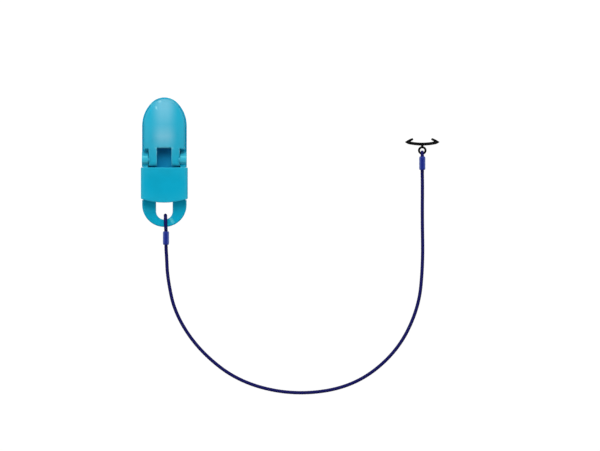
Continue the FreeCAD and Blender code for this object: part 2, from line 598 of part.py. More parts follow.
# ---- cross hook -----------------------------------------------------------------------------------------
def make_cross_hook():
    """Drawn flat, its origin in the lower arc of its eye, where the cord holds it. Then laid on its barbs."""
    body = new_body("cross_hook")
    radius, ring, flat = size["eye_radius"], size["eye_bar"], size["eye_thick"]
    eye_y = radius - ring / 2
    eye = new_sketch(body, "eye_outline", "XY_Plane", -(flat / 2))
    draw_circle(eye, 0, eye_y, radius)
    draw_circle(eye, 0, eye_y, radius - ring)
    feature(body, "Pad", "eye", eye, flat)
    round_edges(body, "eye_rounding", size["eye_round"], lambda box, edge: near(box.ZMin, flat / 2)
                or near(box.ZMax, -(flat / 2)))

    half_thick = size["hook_thick"] / 2
    span, bar_y, half_bar = size["hook_half_span"], size["hook_bar_y"], size["hook_bar_width"] / 2
    sweep, crotch_x = size["hook_sweep"], span - size["crotch_inset"]
    low_y, high_y = bar_y - half_bar, bar_y + half_bar
    tip_y = bar_y + sweep
    low_radius = (span * span + (sweep + half_bar) * (sweep + half_bar)) / ((sweep + half_bar) * 2)
    plan = new_sketch(body, "bar_outline", "XY_Plane", -half_thick)
    barb_x, barb_y = span - size["barb_inset"], tip_y + size["barb_rise"]
    root_x, root_y = barb_x + size["barb_end_width"], barb_y - size["barb_end_drop"]
    crotch_rise = size["crotch_rise"]
    crotch_y = high_y + crotch_rise
    high_radius = (crotch_x * crotch_x + crotch_rise * crotch_rise) / (crotch_rise * 2)
    draw_outline(plan, [
        (0, low_y, low_radius), (span, tip_y), (barb_x, barb_y), (root_x, root_y),
        (crotch_x, crotch_y, -high_radius), (0, high_y, -high_radius), (-crotch_x, crotch_y),
        (-root_x, root_y), (-barb_x, barb_y), (-span, tip_y, low_radius)])
    feature(body, "Pad", "barbed_bar", plan, size["hook_thick"])

    stem = new_sketch(body, "stem_outline", "XY_Plane", -(flat / 2))
    side, root_y = size["stem_half"], eye_y + radius - ring / 2
    draw_outline(stem, [(-side, root_y), (side, root_y), (side, bar_y), (-side, bar_y)])
    feature(body, "Pad", "stem", stem, flat)
    body.Placement = FreeCAD.Placement(Vector(*EYE), FreeCAD.Rotation(Vector(1, 0, 0), 0))
    body.setExpression("Placement.Rotation.Angle", (-size["hook_rest_tilt"]).text)
    doc.recompute()
    return body


# ---- build, check and write -----------------------------------------------------------------------------
pieces = [
    make_rear_jaw(), make_front_jaw(), make_lever(), make_keeper_band(), make_cord(),
    make_sleeve("clip_end_sleeve", CLIP_END, ROUTE[0][1]),
    make_sleeve("hook_end_sleeve", HOOK_END, ROUTE[-1][1]),
    make_cross_hook(),
]
doc.recompute()
for thing in doc.Objects:
    if "Invalid" in thing.State or "Error" in thing.State:
        raise RuntimeError(f"{thing.Name} failed: {thing.State}")
for piece in pieces:
    if piece.Shape.isNull() or not piece.Shape.isValid():
        raise RuntimeError(f"{piece.Label} is not a valid solid")
os.makedirs("parts", exist_ok=True)
for piece in pieces:
    piece.Shape.exportStep(os.path.join("parts", piece.Label + ".step"))
    box = piece.Shape.BoundBox
    print(f"{piece.Label}: {piece.Shape.Volume:.1f} mm3, {len(piece.Shape.Solids)} solid, "
          f"x {box.XMin:.2f} {box.XMax:.2f}, y {box.YMin:.2f} {box.YMax:.2f}, z {box.ZMin:.2f} {box.ZMax:.2f}")
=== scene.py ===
# %% [markdown]
# # A garment clip on a thin retention cord
# The object is a small snap-together clip of teal plastic. A thin braided cord is looped through the clip's
# ring, and a black hook with two barbs hangs on the cord's other end. This lesson dresses a fixed frame of
# measured solids: solids whose shape is already right only get a finish, and the others get a new mesh here.

# %% Load the frame
import bmesh
import bpy
import math
from mathutils import Matrix, Vector


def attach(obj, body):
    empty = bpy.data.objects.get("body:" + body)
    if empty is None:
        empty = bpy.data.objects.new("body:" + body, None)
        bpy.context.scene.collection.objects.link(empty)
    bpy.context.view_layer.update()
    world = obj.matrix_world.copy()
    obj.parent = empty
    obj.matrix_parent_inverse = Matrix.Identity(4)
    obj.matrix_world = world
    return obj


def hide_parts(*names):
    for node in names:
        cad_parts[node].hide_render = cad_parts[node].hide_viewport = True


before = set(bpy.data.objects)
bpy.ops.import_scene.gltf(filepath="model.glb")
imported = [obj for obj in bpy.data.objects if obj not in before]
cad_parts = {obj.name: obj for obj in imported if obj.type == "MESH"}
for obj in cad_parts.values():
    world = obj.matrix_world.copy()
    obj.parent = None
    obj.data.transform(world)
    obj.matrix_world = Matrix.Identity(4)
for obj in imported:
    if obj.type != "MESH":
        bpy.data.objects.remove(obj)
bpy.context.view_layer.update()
MM = 0.001

# %% [markdown]
# ## Camera
# The clip is seen from straight above, and both of its sides look alike, so a very long lens suits it: a
# short one would show the tall band and lever leaning outwards. The lens is 500 mm on a 36 mm sensor, and the
# camera stands as high as it takes to see the whole curve of the cord with a wide margin of bare ground.

# %% Camera
SENSOR_MM, LENS_MM = 36.0, 500.0
VIEW_WIDTH_MM = 231.66
VIEW_CENTRE_MM = (52.32, -24.44)
lens = bpy.data.cameras.new("camera")
lens.sensor_width, lens.lens = SENSOR_MM, LENS_MM
camera = bpy.data.objects.new("camera", lens)
bpy.context.scene.collection.objects.link(camera)
camera_height = VIEW_WIDTH_MM * LENS_MM / SENSOR_MM * MM
camera.location = (*(value * MM for value in VIEW_CENTRE_MM), camera_height)
lens.clip_start, lens.clip_end = 0.01, 10.0
bpy.context.scene.camera = camera
print(f"camera {camera_height * 1000:.0f} mm above the ground")

# %% [markdown]
# ## The cord's line
# The cord is 1.3 mm thick and stiff enough to lie in one wide curve. Its line could be drawn as a Bezier with
# handles, or sampled from arcs, but a NURBS curve of order 3 is smoother: it is pulled towards a few control
# points and never kinks. The points start at the cord's cut end in the first sleeve, go round the bar of the
# clip's ring, back through the sleeve, along the ground, and up through the ring-shaped eye of the hook.

# %% The cord's route
CORD_MM = 1.3
FLOOR_Z, LOW_Z, HIGH_Z = 0.65, 1.21, 2.61
ROUTE_MM = [
    (0.6, -29.0, HIGH_Z), (0.6, -27.4, HIGH_Z), (0.6, -26.5, HIGH_Z), (0.55, -25.1, 4.15),
    (0.4, -20.5, 4.15), (0.4, -20.5, 0.68), (0.55, -25.4, 0.7), (0.6, -26.4, LOW_Z),
    (0.6, -33.2, LOW_Z), (0.8, -36.0, FLOOR_Z), (1.2, -44.8, FLOOR_Z), (4.1, -58.6, FLOOR_Z),
    (13.6, -73.0, FLOOR_Z), (29.2, -85.1, FLOOR_Z), (50.6, -90.0, FLOOR_Z), (72.9, -86.6, FLOOR_Z),
    (89.4, -73.8, FLOOR_Z), (98.1, -56.6, FLOOR_Z), (99.8, -39.5, FLOOR_Z), (99.5, -21.0, FLOOR_Z),
    (99.6, -9.5, FLOOR_Z), (99.5, -4.6, LOW_Z), (99.5, -0.6, LOW_Z), (99.5, 2.3, LOW_Z),
    (99.5, 2.9, 0.66), (99.5, 4.47, 0.66), (99.5, 4.47, 2.95), (99.5, 2.9, 2.95),
    (99.5, 2.3, HIGH_Z), (99.5, 0.9, HIGH_Z),
]


def spline_points(steps):
    """Points along the cord's NURBS line, steps of them for each control point."""
    curve = bpy.data.curves.new("route", "CURVE")
    curve.dimensions = "3D"
    spline = curve.splines.new("NURBS")
    spline.points.add(len(ROUTE_MM) - 1)
    for point, place in zip(spline.points, ROUTE_MM):
        point.co = (*(value * MM for value in place), 1.0)
    spline.order_u = 3
    spline.use_endpoint_u = True
    spline.resolution_u = steps
    carrier = bpy.data.objects.new("route", curve)
    line = bpy.data.meshes.new_from_object(carrier)
    points = [vertex.co.copy() for vertex in line.vertices]
    bpy.data.objects.remove(carrier)
    bpy.data.meshes.remove(line)
    return points


def walked(points):
    """How far along the line each point is, in metres."""
    total, lengths = 0.0, [0.0]
    for before, after in zip(points, points[1:]):
        total += (after - before).length
        lengths.append(total)
    return lengths


STEPS_FOR_EACH_POINT = 48
rough = spline_points(STEPS_FOR_EACH_POINT)
cord_length = walked(rough)[-1]
print(f"the cord is {cord_length * 1000:.1f} mm long, {len(rough)} points")

# %% [markdown]
# ## Helpers for meshes
# Every new piece is made the same way at the end: a list of corners and faces becomes a mesh, its normals
# are turned outwards, it is shaded smooth, and it is linked to the scene.


# %% Mesh helpers
def mesh_piece(name, corners, faces, smooth=True):
    """Makes an object from corners and faces, in metres, with outward normals."""
    mesh = bpy.data.meshes.new(name)
    mesh.from_pydata([tuple(corner) for corner in corners], [], faces)
    work = bmesh.new()
    work.from_mesh(mesh)
    bmesh.ops.remove_doubles(work, verts=work.verts, dist=1e-7)
    bmesh.ops.recalc_face_normals(work, faces=work.faces)
    for face in work.faces:
        face.smooth = smooth
    work.to_mesh(mesh)
    work.free()
    piece = bpy.data.objects.new(name, mesh)
    bpy.context.scene.collection.objects.link(piece)
    return piece


def resampled(points, spacing):
    """The same line with points at an even spacing."""
    lengths = walked(points)
    count = max(2, round(lengths[-1] / spacing))
    even, index = [], 0
    for number in range(count + 1):
        wanted = lengths[-1] * number / count
        while index < len(points) - 2 and lengths[index + 1] < wanted:
            index += 1
        step = lengths[index + 1] - lengths[index]
        share = (wanted - lengths[index]) / step if step > 0 else 0.0
        even.append(points[index].lerp(points[index + 1], min(max(share, 0.0), 1.0)))
    return even


def frames_along(points):
    """A side and an up direction at each point that turn as little as they can along the line."""
    tangents = [(points[min(n + 1, len(points) - 1)] - points[max(n - 1, 0)]).normalized()
                for n in range(len(points))]
    side = tangents[0].orthogonal().normalized()
    frames = []
    for tangent in tangents:
        side = (side - tangent * side.dot(tangent)).normalized()
        frames.append((side, tangent.cross(side)))
    return frames


def ring_faces(rings, sides):
    """Faces that join rings of corners into one tube and cap both of its ends."""
    faces = []
    for ring in range(rings - 1):
        for step in range(sides):
            a, b = ring * sides + step, ring * sides + (step + 1) % sides
            faces.append((a, b, b + sides, a + sides))
    return faces + [tuple(range(sides)), tuple(range((rings - 1) * sides, rings * sides))]


def tube(name, points, radius_at, sides, pressed):
    """A tube round a line. radius_at gives its radius, so that it can be woven, and pressed flattens it."""
    corners = []
    for point, length, (side, up) in zip(points, walked(points), frames_along(points)):
        squeeze, pull = pressed(point)
        for step in range(sides):
            angle = 2 * math.pi * step / sides
            offset = (side * math.cos(angle) + up * math.sin(angle)) * radius_at(angle, length)
            corners.append(point + offset * squeeze + pull)
    return mesh_piece(name, corners, ring_faces(len(points), sides))


print("mesh helpers ready; corners closer than 0.0001 mm are merged")


# %% [markdown]
# ## The cord
# The real cord is a round braid of eight fine polyester strands, four turning each way. It could be eight
# separate tubes in each direction, but at 1.3 mm across that is far more mesh than the eye can use. Here it
# is one tube whose surface rises and falls as the strands cross over and under each other, so the braid is
# real relief, and its outline is very slightly knobbly. The mean of the relief is the cord's real diameter.

# %% Cord mesh
STRANDS_EACH_WAY = 4
BRAID_PITCH_MM = 4.4
BRAID_RELIEF_MM = 0.055
CORD_SIDES = 24
CORD_STEP_MM = 0.28
EYE_BEND_START_MM, EYE_BEND_MM = 2.5, 1.2
EYE_SQUEEZE = Vector((0.2, 0.5, 0.5))
EYE_PULL_START_MM, EYE_PULL_MM = 3.5, 0.3
STRAND_FULLNESS = 0.6


def braid_height(angle, length):
    """0 in the grooves of the braid and 1 on top of a strand."""
    turn = 2 * math.pi * length / (BRAID_PITCH_MM * MM)
    one = STRANDS_EACH_WAY * (angle + turn) / 2
    other = STRANDS_EACH_WAY * (angle - turn) / 2
    over = math.sin(one + other) * 0.5 + 0.5
    return over * abs(math.sin(one)) ** STRAND_FULLNESS + (1 - over) * abs(math.sin(other)) ** STRAND_FULLNESS


def cord_radius(angle, length):
    """The braid's radius: half its relief lies outside the cord's mean radius and half inside."""
    sunk = (1 - braid_height(angle, length)) * BRAID_RELIEF_MM
    return (CORD_MM / 2 + BRAID_RELIEF_MM / 2 - sunk) * MM


def pressed(point):
    """The squeeze and the pull on the braid where it is drawn tight round the lower arc of the hook's eye."""
    share = min(max((point.y / MM - EYE_BEND_START_MM) / EYE_BEND_MM, 0.0), 1.0)
    at_front = min(max(point.y / MM - EYE_PULL_START_MM, 0.0), 1.0)
    return Vector((1, 1, 1)) - EYE_SQUEEZE * share, Vector((0.0, -EYE_PULL_MM * at_front, 0.0)) * MM


cord_line = resampled(rough, CORD_STEP_MM * MM)
cord = tube("braided_cord", cord_line, cord_radius, CORD_SIDES, pressed)
print(f"cord mesh: {len(cord.data.vertices)} corners")
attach(cord, "clip")
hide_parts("cord")

# %% [markdown]
# ## Helpers for materials
# Colours are picked as sRGB hex values, as from a colour chart, and one function turns them to the linear
# values that a shader works in. One more function adds a node, sets it up and links its inputs.


# %% Material helpers
def linear(hex_colour):
    channels = [int(hex_colour[n:n + 2], 16) / 255 for n in (1, 3, 5)]
    return [c / 12.92 if c <= 0.04045 else ((c + 0.055) / 1.055) ** 2.4 for c in channels] + [1.0]


def add_node(tree, kind, settings=(), values=(), links=()):
    """Adds a node. settings are its properties, values its inputs' numbers, links (input, output) pairs."""
    made = tree.nodes.new(kind)
    for name, value in dict(settings).items():
        setattr(made, name, value)
    for name, value in dict(values).items():
        made.inputs[name].default_value = value
    for name, output in dict(links).items():
        tree.links.new(output, made.inputs[name])
    return made


def new_material(name, **shader_values):
    """An empty material with one Principled shader, its values set on the shader itself."""
    material = bpy.data.materials.new(name)
    material.use_nodes = True
    tree = material.node_tree
    tree.nodes.clear()
    shader = add_node(tree, "ShaderNodeBsdfPrincipled",
                      values={key.replace("_", " "): value for key, value in shader_values.items()})
    add_node(tree, "ShaderNodeOutputMaterial", links={"Surface": shader.outputs["BSDF"]})
    return material, tree, shader


def ramp(tree, source, stops):
    """A colour ramp from (place, sRGB hex) stops."""
    made = add_node(tree, "ShaderNodeValToRGB", links={"Fac": source})
    elements = made.color_ramp.elements
    while len(elements) < len(stops):
        elements.new(0.5)
    for element, (place, colour) in zip(elements, stops):
        element.position, element.color = place, linear(colour)
    return made.outputs["Color"]


def dress(piece, material):
    """Puts one material on a piece, in every slot it has. A new piece has no slot, so it gets one."""
    if not piece.material_slots:
        piece.data.materials.append(material)
    for slot in piece.material_slots:
        slot.material = material


print("mid grey #808080 is", round(linear("#808080")[0], 3), "in linear light")

# %% [markdown]
# ## Finish of the cord: dyed polyester braid
# Fine polyester filaments have a soft shine along their run, and the dye is a deep blue with a violet cast.
# The grooves between strands get painted shade: the colour is darkened by the height of the braid, because
# little light gets into them. That height could be worked out again in nodes, but the mesh already knows it, so
# it is stored on the mesh's points and read back with an Attribute node.

# %% Polyester braid
FILAMENT_MM = 0.09
lengths = walked(cord_line)
heights = cord.data.attributes.new("braid_height", "FLOAT", "POINT")
for number in range(len(cord.data.vertices)):
    ring_number, step = divmod(number, CORD_SIDES)
    at = lengths[min(ring_number, len(lengths) - 1)]
    heights.data[number].value = braid_height(2 * math.pi * step / CORD_SIDES, at)

polyester, tree, shader = new_material(
    "dyed_polyester_braid", Roughness=0.6, IOR=1.55, Specular_IOR_Level=0.08)
height = add_node(tree, "ShaderNodeAttribute", {"attribute_name": "braid_height"})
# Deep blue dye, darker in the grooves as painted shade.
dye_and_groove_shade = ramp(tree, height.outputs["Fac"], [(0.0, "#050528"), (0.45, "#0c0c4c"), (1.0, "#17176c")])
place = add_node(tree, "ShaderNodeTexCoord")
fibres = add_node(tree, "ShaderNodeTexNoise", values={"Scale": 1000 / FILAMENT_MM, "Detail": 2.0},
                  links={"Vector": place.outputs["Object"]})
tint = add_node(tree, "ShaderNodeMixRGB", {"blend_type": "MULTIPLY"}, {"Fac": 0.35},
                {"Color1": dye_and_groove_shade, "Color2": fibres.outputs["Fac"]})
tree.links.new(tint.outputs["Color"], shader.inputs["Base Color"])
lift = add_node(tree, "ShaderNodeBump", values={"Strength": 0.4, "Distance": FILAMENT_MM / 3 * MM},
                links={"Height": fibres.outputs["Fac"]})
tree.links.new(lift.outputs["Normal"], shader.inputs["Normal"])
dress(cord, polyester)
print("material", polyester.name, "filament", FILAMENT_MM, "mm")

# %% [markdown]
# ## Finish of the clip: moulded polypropylene
# The clip's back plate, ring, ears, front jaw and band are injection-moulded polypropylene, coloured teal in
# the mass. The mould gives it a satin face with a very fine spark-eroded grain, and slow flow of the melt
# leaves faint clouds in the colour. The front jaw gets a darker, bluer copy of the colour, as painted shade for
# a piece that lies under the lever. Sharp edges are painted a little paler, as a painted highlight. The grain
# is far too fine to model, so it is a bump, and its 0.16 mm spacing is that of a common mould texture.

# %% Moulded polypropylene
GRAIN_MM = 0.16
FLOW_MM = 9.0
EDGE_STARTS, EDGE_IS_FULL = 0.51, 0.6
GRAIN_STRENGTH = 0.35


def moulded(name, deep, face, pale, roughness, edge_strength, grain_depth_mm=0.012, **more):
    """A moulded plastic: a fine mould grain, slow flow clouds, and sharp edges painted paler as a highlight."""
    material, tree, shader = new_material(name, Roughness=roughness, IOR=1.49, **more)
    place = add_node(tree, "ShaderNodeTexCoord")
    flow = add_node(tree, "ShaderNodeTexNoise", values={"Scale": 1000 / FLOW_MM, "Detail": 3.0},
                    links={"Vector": place.outputs["Object"]})
    cloud = ramp(tree, flow.outputs["Fac"], [(0.3, deep), (0.55, face), (0.75, face)])
    geometry = add_node(tree, "ShaderNodeNewGeometry")
    edges = add_node(tree, "ShaderNodeMapRange",
                     values={"From Min": EDGE_STARTS, "From Max": EDGE_IS_FULL, "To Max": edge_strength},
                     links={"Value": geometry.outputs["Pointiness"]})
    # Sharp edges, found by their pointiness, are mixed towards the pale colour: a painted highlight.
    painted_edge_highlight = add_node(tree, "ShaderNodeMixRGB", values={"Color2": linear(pale)},
                    links={"Fac": edges.outputs["Result"], "Color1": cloud})
    tree.links.new(painted_edge_highlight.outputs["Color"], shader.inputs["Base Color"])
    grain = add_node(tree, "ShaderNodeTexNoise", values={"Scale": 1000 / GRAIN_MM, "Detail": 2.0},
                     links={"Vector": place.outputs["Object"]})
    skin = add_node(tree, "ShaderNodeBump",
                    values={"Strength": GRAIN_STRENGTH, "Distance": grain_depth_mm * MM},
                    links={"Height": grain.outputs["Fac"]})
    tree.links.new(skin.outputs["Normal"], shader.inputs["Normal"])
    return material


polypropylene = moulded("teal_moulded_polypropylene", "#009cbc", "#00a2c4", "#58c4d2", 0.5, 0.7,
                        Specular_IOR_Level=0.08)
# A darker, bluer copy of the teal for the front jaw: painted shade for a piece that lies under the lever.
shaded_jaw = moulded("teal_moulded_polypropylene_painted_shade", "#0086bd", "#008ec4", "#2fb0cc", 0.5, 0.4,
                     Specular_IOR_Level=0.08)
print("material", polypropylene.name, "grain", GRAIN_MM, "mm")

# %% [markdown]
# ## Back plate and front jaw
# Their measured solids already have the right shape: the bullet-shaped plate with its ears, rails and ring,
# and the toothed tongue. A mould never leaves a knife-sharp edge, though, and sharp edges catch no light. So
# a Weld modifier closes the seams of the loaded mesh, and a Bevel modifier rounds each edge that turns by more
# than 35 degrees, by 0.12 mm. Smooth shading could be set on the faces, but that would write to the measured
# mesh, so a small modifier does it too. All of them leave the solid itself alone.

# %% Soft edges on the measured solids
MOULD_RADIUS_MM, SEAM_MM = 0.12, 0.002
SHARP_EDGE = math.radians(35)


def shade_smooth_nodes():
    """A node group that shades every face smooth."""
    group = bpy.data.node_groups.new("shade_smooth", "GeometryNodeTree")
    for way in ("INPUT", "OUTPUT"):
        group.interface.new_socket("Geometry", in_out=way, socket_type="NodeSocketGeometry")
    start = add_node(group, "NodeGroupInput")
    smooth = add_node(group, "GeometryNodeSetShadeSmooth", links={0: start.outputs[0]})
    add_node(group, "NodeGroupOutput", links={0: smooth.outputs[0]})
    return group


def flat_facing(piece):
    """Lets a piece's large flat faces decide the shading next to them, so that they look flat."""
    piece.modifiers.new("flat_faces", "WEIGHTED_NORMAL")


shade_smooth = shade_smooth_nodes()
for node in ("rear_jaw", "front_jaw"):
    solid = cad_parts[node]
    solid.modifiers.new("shade_smooth", "NODES").node_group = shade_smooth
    weld = solid.modifiers.new("close_seams", "WELD")
    weld.merge_threshold = SEAM_MM * MM
    bevel = solid.modifiers.new("mould_radius", "BEVEL")
    bevel.width, bevel.segments = MOULD_RADIUS_MM * MM, 2
    bevel.limit_method, bevel.angle_limit = "ANGLE", SHARP_EDGE
    flat_facing(solid)
    dress(solid, shaded_jaw if node == "front_jaw" else polypropylene)

# %% [markdown]
# ## Keeper band
# The band is a C-shaped moulding that slides over the body's side rails and hooks in under the plate. It could
# be a bevelled box, but its rear edge is bowed and its ends are rounded more than its long edges. So one
# C-shaped section is drawn once and swept from front to back: near both ends the section shrinks a little,
# which rounds the ends, and the last sections follow the bow.

# %% Band mesh
BAND_HALF_MM, BAND_TOP_MM, BAND_LOW_MM = 9.0, 8.0, 0.1
BAND_CORNER_MM, BAND_WALL_MM, BAND_ROOF_MM = 1.2, 0.85, 1.1
BAND_LIP_X_MM, BAND_LIP_TOP_MM = 7.45, 0.9
BAND_FRONT_Y_MM, BAND_SIDE_Y_MM, BAND_REAR_Y_MM = -2.05, -14.2, -15.64
BAND_END_ROUND_MM, BAND_END_NARROWING, BAND_LOW_EDGE_MM = 0.38, 0.8, 0.3


def quarter(centre, radius, start, steps):
    """Points of a quarter turn to the left round a centre, from the angle start in degrees."""
    return [(centre[0] + radius * math.cos(math.radians(start + 90 * n / steps)),
             centre[1] + radius * math.sin(math.radians(start + 90 * n / steps))) for n in range(steps + 1)]


def band_section():
    """The outside of the C from right to left and its inside from left to right, as points (x, z)."""
    half, top, low, corner = BAND_HALF_MM, BAND_TOP_MM, BAND_LOW_MM, BAND_CORNER_MM
    inner, roof = half - BAND_WALL_MM, top - BAND_ROOF_MM
    edge = BAND_LOW_EDGE_MM
    outer = [(BAND_LIP_X_MM, low)] + quarter((half - edge, low + edge), edge, -90, 4)
    outer += quarter((half - corner, top - corner), corner, 0, 8)
    outer += [(x, top) for x in (6.0, 4.0, 2.0, 0.0)]
    outer += [(-x, z) for x, z in reversed(outer[:-1])]
    inside = [(-BAND_LIP_X_MM, BAND_LIP_TOP_MM), (-inner, BAND_LIP_TOP_MM), (-inner, roof),
              (0.0, roof), (inner, roof), (inner, BAND_LIP_TOP_MM), (BAND_LIP_X_MM, BAND_LIP_TOP_MM)]
    return outer, inside


def make_band():
    outer, inside = band_section()
    middle_z = (BAND_TOP_MM + BAND_LOW_MM) / 2
    bow = BAND_SIDE_Y_MM - BAND_REAR_Y_MM
    turns = [math.radians(a) for a in (22, 45, 67, 90)]
    ends = [(0.0, BAND_END_ROUND_MM)] + [
        (BAND_END_ROUND_MM * (1 - math.cos(a)), BAND_END_ROUND_MM * (1 - math.sin(a))) for a in turns]
    corners, rows = [], []
    stations = [(True, along, inset) for along, inset in ends] + [(None, 0.5, 0.0)]
    stations += [(False, along, inset) for along, inset in reversed(ends)]
    for at_front, along, inset in stations:
        row = []
        for number, (x, z) in enumerate(outer + inside):
            is_outer = number < len(outer)
            shrink_x = inset if is_outer and abs(x) > BAND_HALF_MM - BAND_CORNER_MM - 0.01 else 0.0
            shrink_z = inset if is_outer and z > middle_z else 0.0
            px = x - math.copysign(shrink_x * BAND_END_NARROWING, x)
            rear = BAND_REAR_Y_MM + bow * (x / BAND_HALF_MM) ** 2
            if at_front is None:
                y = (BAND_FRONT_Y_MM + rear) / 2
            else:
                y = BAND_FRONT_Y_MM - along if at_front else rear + along
            row.append(len(corners))
            corners.append(Vector((px, y, z - shrink_z)) * MM)
        rows.append(row)
    count = len(rows[0])
    faces = [(rows[n][k], rows[n][(k + 1) % count], rows[n + 1][(k + 1) % count], rows[n + 1][k])
             for n in range(len(rows) - 1) for k in range(count)]
    for row in (rows[0], rows[-1]):
        outer_row, inner_row = row[:len(outer)], row[len(outer):]
        faces += cap_between(corners, outer_row, inner_row[::-1])
    return mesh_piece("keeper_band_shell", corners, faces)


def cap_between(corners, first, second):
    """Triangles that fill the strip between two rows of corners, each time over the shorter diagonal."""
    made, a, b = [], 0, 0
    while a < len(first) - 1 or b < len(second) - 1:
        step_a = (corners[first[min(a + 1, len(first) - 1)]] - corners[second[b]]).length
        step_b = (corners[second[min(b + 1, len(second) - 1)]] - corners[first[a]]).length
        if b == len(second) - 1 or (a < len(first) - 1 and step_a <= step_b):
            made.append((first[a], first[a + 1], second[b]))
            a += 1
        else:
            made.append((first[a], second[b + 1], second[b]))
            b += 1
    return made


band = make_band()
flat_facing(band)
dress(band, polypropylene)
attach(band, "clip")
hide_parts("keeper_band")
print("band", len(band.data.vertices), "corners")

# %% [markdown]
# ## Lever
# The lever is a domed thumb piece shaped like a bullet, and it ends in two legs with round cams. Its measured
# solid is right in size, but its top is made of two plain arcs that meet in a crease, where the real one
# flows over. A subdivided cage could give the dome, but its outline would shrink. Here the dome is a height
# field: a function says how high the top is at any place, and a net of points is stretched from the outline
# to the spine. The height drops in a quarter round at every free edge, as a mould leaves it.

# %% Lever dome
LEVER_HALF_MM, LEVER_TIP_MM, LEVER_REAR_MM, LEVER_SHOULDER_MM = 7.9, 24.3, 4.94, 14.0
LEVER_LOW_MM, CROWN_MM, SIDE_DROP_MM = 4.3, 9.2, 2.0
NOSE_RADIUS_MM, NOSE_START_MM = 30.2, 10.0
SIDE_ARC_MM = 12.1
RIM_ROUND_MM, REAR_ROUND_MM = 0.85, 0.7
WINDOW_HALF_MM, WINDOW_FRONT_MM, LEG_OUTER_MM = 2.8, 5.33, 6.0
SPINE_END_MM = 15.0
SIDE_ROWS_MM = (6.5, 0.625, 12)
SIDE_ARC_STEPS, TIP_ARC_STEPS = 10, 14
WALL_MM = 1.1


def quarter_round(distance, radius):
    """How far a rounded edge has dropped at a distance in from it."""
    inside = max(radius - distance, 0.0)
    return radius - math.sqrt(radius * radius - inside * inside)


def crown_height(x, y):
    past = max(y - NOSE_START_MM, 0.0)
    fall = NOSE_RADIUS_MM - math.sqrt(NOSE_RADIUS_MM ** 2 - past * past)
    return CROWN_MM - SIDE_DROP_MM * (x / LEVER_HALF_MM) ** 2 - fall


def lever_outline():
    """Right half of the outline from the rear corner to the tip."""
    reach = SIDE_ARC_MM - LEVER_HALF_MM
    length = LEVER_TIP_MM - LEVER_SHOULDER_MM
    tip_arc = (SIDE_ARC_MM ** 2 - reach ** 2 - length ** 2) / (2 * (SIDE_ARC_MM - length))
    tip_centre = LEVER_TIP_MM - tip_arc
    turn = math.atan2(tip_centre - LEVER_SHOULDER_MM, reach)
    rear_rows = [0.0, 0.04, 0.12, 0.24, 0.39, 0.391, 0.55, 0.8, 1.15]
    points = [(LEVER_HALF_MM, LEVER_REAR_MM + step) for step in rear_rows]
    start, step, rows = SIDE_ROWS_MM
    points += [(LEVER_HALF_MM, start + step * n) for n in range(rows)]
    for n in range(SIDE_ARC_STEPS + 1):
        angle = turn * n / SIDE_ARC_STEPS
        points.append((SIDE_ARC_MM * math.cos(angle) - reach,
                       LEVER_SHOULDER_MM + SIDE_ARC_MM * math.sin(angle)))
    for n in range(1, TIP_ARC_STEPS + 1):
        angle = turn + (math.pi / 2 - turn) * n / TIP_ARC_STEPS
        points.append((tip_arc * math.cos(angle), tip_centre + tip_arc * math.sin(angle)))
    return points


def between_legs(x):
    return abs(x) < WINDOW_HALF_MM


def on_leg(x):
    return WINDOW_HALF_MM <= abs(x) <= LEG_OUTER_MM


def lever_shell():
    """The dome, its rim and its rear face as one open skin."""
    right = lever_outline()
    outline = right + [(-x, y) for x, y in reversed(right[:-1])]
    steps = [0.0, 0.03, 0.09, 0.18, 0.3, 0.45, 0.62, 0.85, 1.15, 1.5, 1.89, 1.91, 2.4, 3.0, 3.7, 4.4,
             5.09, 5.11, 5.7, 6.4, 7.1, 7.9]
    corners, rows = [], []
    for px, py in outline:
        spine = min(py, SPINE_END_MM)
        row = []
        run = math.hypot(px, py - spine)
        for step in steps:
            share = step / steps[-1]
            x, y = px * (1 - share), py + (spine - py) * share
            if between_legs(x) and y < WINDOW_FRONT_MM:
                y = WINDOW_FRONT_MM
            drop = quarter_round(run * share, RIM_ROUND_MM)
            rear = WINDOW_FRONT_MM if between_legs(x) else LEVER_REAR_MM
            if not on_leg(x):
                drop = max(drop, quarter_round(y - rear, REAR_ROUND_MM))
            row.append(len(corners))
            corners.append(Vector((x, y, crown_height(x, y) - drop)) * MM)
        rows.append(row)
    faces = [(rows[n][k], rows[n + 1][k], rows[n + 1][k + 1], rows[n][k + 1])
             for n in range(len(rows) - 1) for k in range(len(steps) - 1)]
    rim = [row[0] for row in rows]
    rear = rows[-1][:-1] + rows[0][::-1]
    for edge in (rim, rear):
        below = []
        for corner in edge:
            below.append(len(corners))
            corners.append(Vector((corners[corner].x, corners[corner].y, LEVER_LOW_MM * MM)))
        faces += [(edge[n], edge[n + 1], below[n + 1], below[n]) for n in range(len(edge) - 1)]
    return mesh_piece("lever_dome", corners, faces)


lever = lever_shell()
if sum(face.normal.z for face in lever.data.polygons) < 0:
    lever.data.flip_normals()
print("dome", len(lever.data.vertices), "corners")

# %% [markdown]
# The skin has no thickness yet. Solidify turns it into a 1.1 mm wall on the inside, as in the real hollow
# moulding, and the modifier is applied so that the legs can be joined to it. Each leg is one side profile,
# round at the cam, swept across the leg with its two edges rounded. Its top follows the dome's own arch, so
# the dome seems to run down into the legs.

# %% Lever legs
CAM_Y_MM, CAM_Z_MM, CAM_MM = 0.9, 6.52, 2.4
LEG_FALL_MM, CAM_FLAT_MM = 0.54, 0.32
LEG_EDGE_MM, LEG_FALL_POWER = 0.28, 1.5
SHAFT_MM, SHAFT_Z_MM, SHAFT_END_MM, SHAFT_EDGE_MM, SHAFT_ROOT_MM = 1.0, 7.12, 7.7, 0.15, 0.4
FLAT_STATIONS = 4


def applied(piece):
    """Bakes a piece's modifiers into its mesh."""
    mesh = bpy.data.meshes.new_from_object(piece.evaluated_get(bpy.context.evaluated_depsgraph_get()))
    piece.modifiers.clear()
    piece.data = mesh
    return piece


